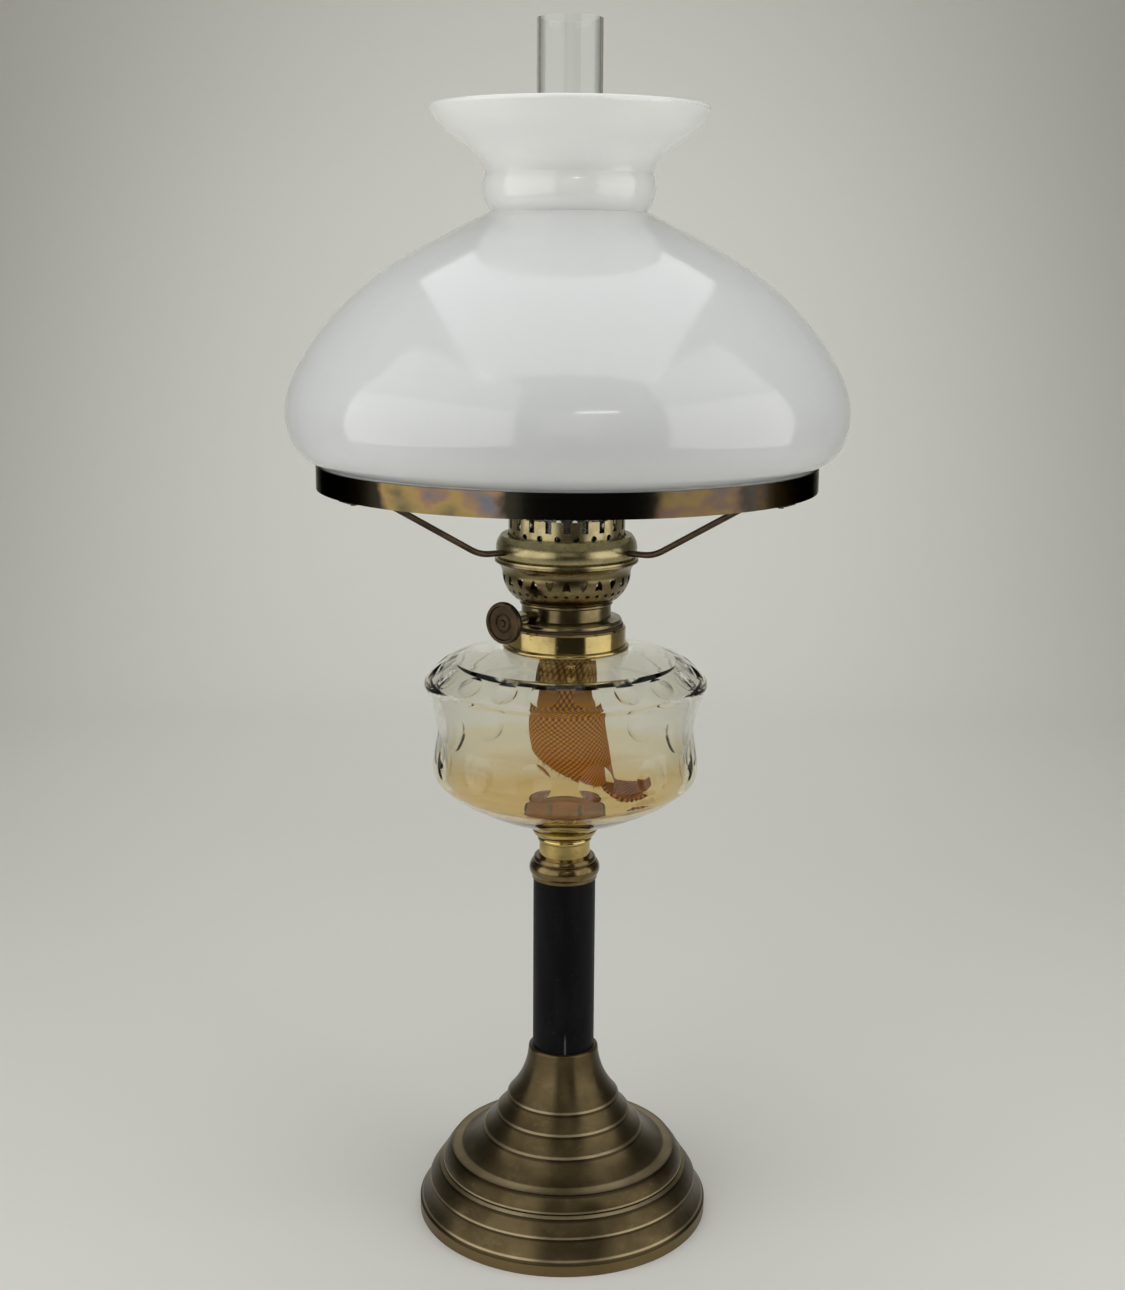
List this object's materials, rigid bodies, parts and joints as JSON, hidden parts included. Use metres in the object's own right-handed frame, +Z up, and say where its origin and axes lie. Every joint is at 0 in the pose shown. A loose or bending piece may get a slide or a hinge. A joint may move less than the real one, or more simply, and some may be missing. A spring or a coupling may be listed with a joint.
{
  "type": "oil lamp",
  "caption": "Paraffin table lamp: stepped brass foot, black column, cut glass font, round-wick burner with winder, opal shade on a wire holder, clear chimney.",
  "frame": {"origin": "middle of the underside of the foot, on the table", "axes": "+Z up along the lamp's axis, -Y towards the viewer, the winder knob forward and to the left"},
  "size_m": [0.2656, 0.2656, 0.5862],
  "materials": {
    "aged_brass": "satin antique brass",
    "polished_brass": "polished brass",
    "dark_bronze": "dark aged brass",
    "black_lacquer": "satin black",
    "iron": "rough cast",
    "steel": "plain steel",
    "felt": "felt",
    "plaster": "set plaster",
    "clear_glass": "clear cut glass",
    "chimney_glass": "clear glass",
    "opal_glass": "glossy opal white",
    "seal": "fibre washer",
    "wick_cotton": "woven cotton"
  },
  "bodies": {
    "stand": {"base_shell": "aged_brass", "base_weight": "iron", "base_felt": "felt", "tie_rod": "steel", "tie_nut": "steel", "tie_washer": "steel", "column": "black_lacquer", "column_cap": "dark_bronze", "font_cup": "polished_brass", "font_plaster": "plaster", "font_glass": "clear_glass", "font_collar": "polished_brass"},
    "seal": {"burner_seal": "seal"},
    "burner": {"burner_base": "dark_bronze", "wick_tube": "dark_bronze", "draught_tube": "dark_bronze", "winder_bush": "dark_bronze", "air_basket": "dark_bronze", "chimney_gallery": "dark_bronze"},
    "winder": {"winder_shaft": "steel", "winder_cogs": "dark_bronze", "winder_knob": "dark_bronze"},
    "wick": {"wick": "wick_cotton"},
    "shade_holder": {"holder_collar": "dark_bronze", "shade_ring": "dark_bronze", "arm_rivets": "dark_bronze", "holder_arm_1": "dark_bronze", "holder_arm_2": "dark_bronze", "holder_arm_3": "dark_bronze"},
    "shade": {"shade": "opal_glass"},
    "chimney": {"chimney": "chimney_glass"}
  },
  "joints": [
    {"name": "burner_lift", "type": "slide", "parent": "stand", "child": "seal", "axis": [0, 0, 1], "range_m": [0, 0.007]},
    {"name": "burner_turn", "type": "hinge", "parent": "seal", "child": "burner", "pos_m": [0, 0, 0.307], "axis": [0, 0, 1], "range_deg": [0, 1260]},
    {"name": "winder_turn", "type": "hinge", "parent": "burner", "child": "winder", "pos_m": [-0.00479, 0.00361, 0.312], "axis": [0.6018, 0.7986, 0], "range_deg": [0, 140]},
    {"name": "wick_slide", "type": "slide", "parent": "burner", "child": "wick", "axis": [0, 0, 1], "range_m": [0, 0.0103]},
    {"name": "holder_lift", "type": "slide", "parent": "burner", "child": "shade_holder", "axis": [0, 0, 1], "range_m": [0, 0.25]},
    {"name": "shade_lift", "type": "slide", "parent": "shade_holder", "child": "shade", "axis": [0, 0, 1], "range_m": [0, 0.22]},
    {"name": "chimney_lift", "type": "slide", "parent": "burner", "child": "chimney", "axis": [0, 0, 1], "range_m": [0, 0.23]}
  ],
  "couplings": [
    {"joint": "burner_lift", "follows": "burner_turn", "m_per_rad": 0.00031831},
    {"joint": "wick_slide", "follows": "winder_turn", "m_per_rad": 0.0042}
  ]
}
